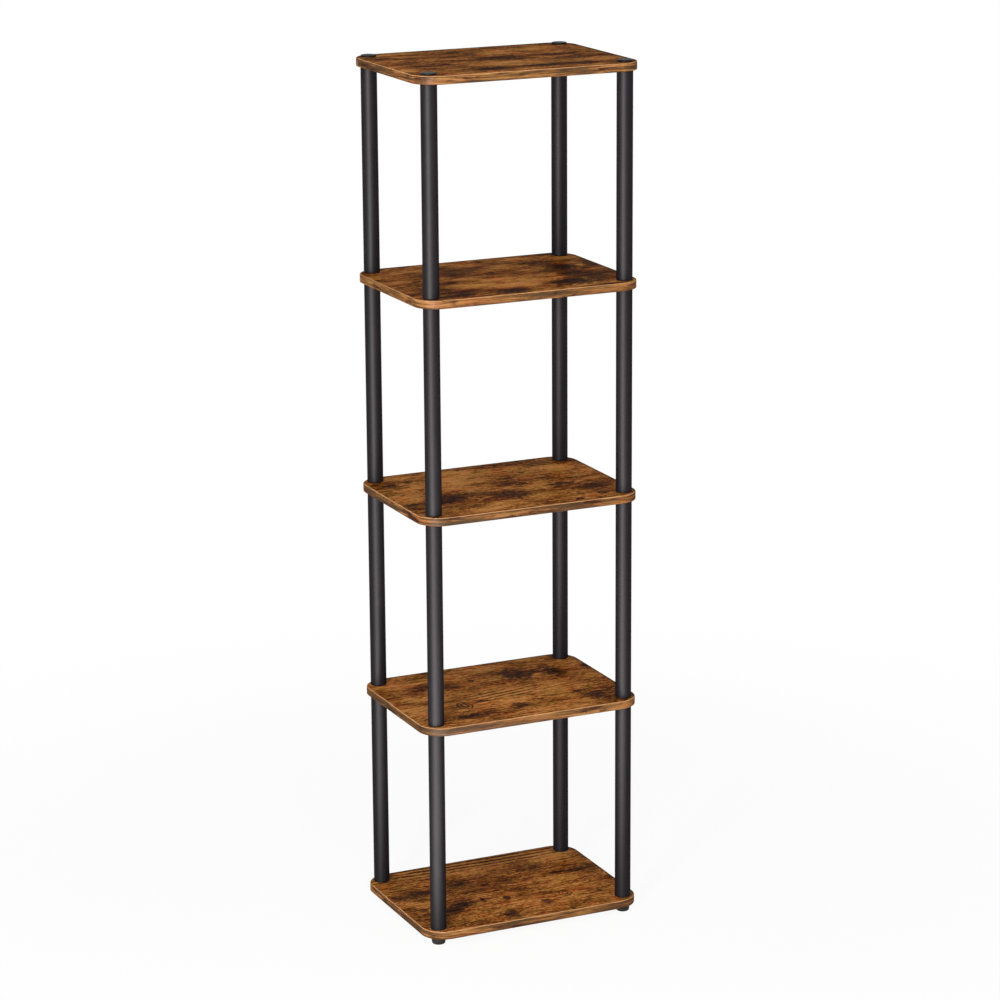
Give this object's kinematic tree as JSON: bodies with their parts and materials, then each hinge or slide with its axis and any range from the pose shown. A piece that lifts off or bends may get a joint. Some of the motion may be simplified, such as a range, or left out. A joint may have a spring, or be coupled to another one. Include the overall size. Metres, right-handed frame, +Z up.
{
  "type": "shelf unit",
  "caption": "Tall open shelf unit with rounded rectangular woodgrain boards on screw-together round tube posts, with small tapered feet.",
  "frame": {"origin": "centre of the footprint on the floor, at the feet's undersides", "axes": "+Z up, +X to the right along the long front edge of the boards, +Y from the front to the back"},
  "size_m": [0.396, 0.295, 1.466],
  "materials": {
    "board_laminate": "satin woodgrain laminate on a composite wood board",
    "edge_band": "satin printed edge band with the same woodgrain",
    "tube_plastic": "satin extruded rigid plastic",
    "plug_plastic": "fine matt moulded plastic",
    "foot_plastic": "soft matt moulded plastic"
  },
  "bodies": {
    "root": {"shelf_board_1": "board_laminate", "shelf_board_2": "board_laminate", "shelf_board_3": "board_laminate", "shelf_board_4": "board_laminate", "shelf_board_5": "board_laminate", "edge_band_1": "edge_band", "edge_band_2": "edge_band", "edge_band_3": "edge_band", "edge_band_4": "edge_band", "edge_band_5": "edge_band", "tube_1_front_left": "tube_plastic", "tube_1_front_right": "tube_plastic", "tube_1_back_left": "tube_plastic", "tube_1_back_right": "tube_plastic", "tube_2_front_left": "tube_plastic", "tube_2_front_right": "tube_plastic", "tube_2_back_left": "tube_plastic", "tube_2_back_right": "tube_plastic", "tube_3_front_left": "tube_plastic", "tube_3_front_right": "tube_plastic", "tube_3_back_left": "tube_plastic", "tube_3_back_right": "tube_plastic", "tube_4_front_left": "tube_plastic", "tube_4_front_right": "tube_plastic", "tube_4_back_left": "tube_plastic", "tube_4_back_right": "tube_plastic", "stud_plugs_front_left": "plug_plastic", "stud_plugs_front_right": "plug_plastic", "stud_plugs_back_left": "plug_plastic", "stud_plugs_back_right": "plug_plastic", "socket_plugs_front_left": "plug_plastic", "socket_plugs_front_right": "plug_plastic", "socket_plugs_back_left": "plug_plastic", "socket_plugs_back_right": "plug_plastic", "top_cap_front_left": "plug_plastic", "top_cap_front_right": "plug_plastic", "top_cap_back_left": "plug_plastic", "top_cap_back_right": "plug_plastic", "foot_front_left": "foot_plastic", "foot_front_right": "foot_plastic", "foot_back_left": "foot_plastic", "foot_back_right": "foot_plastic"}
  },
  "joints": []
}
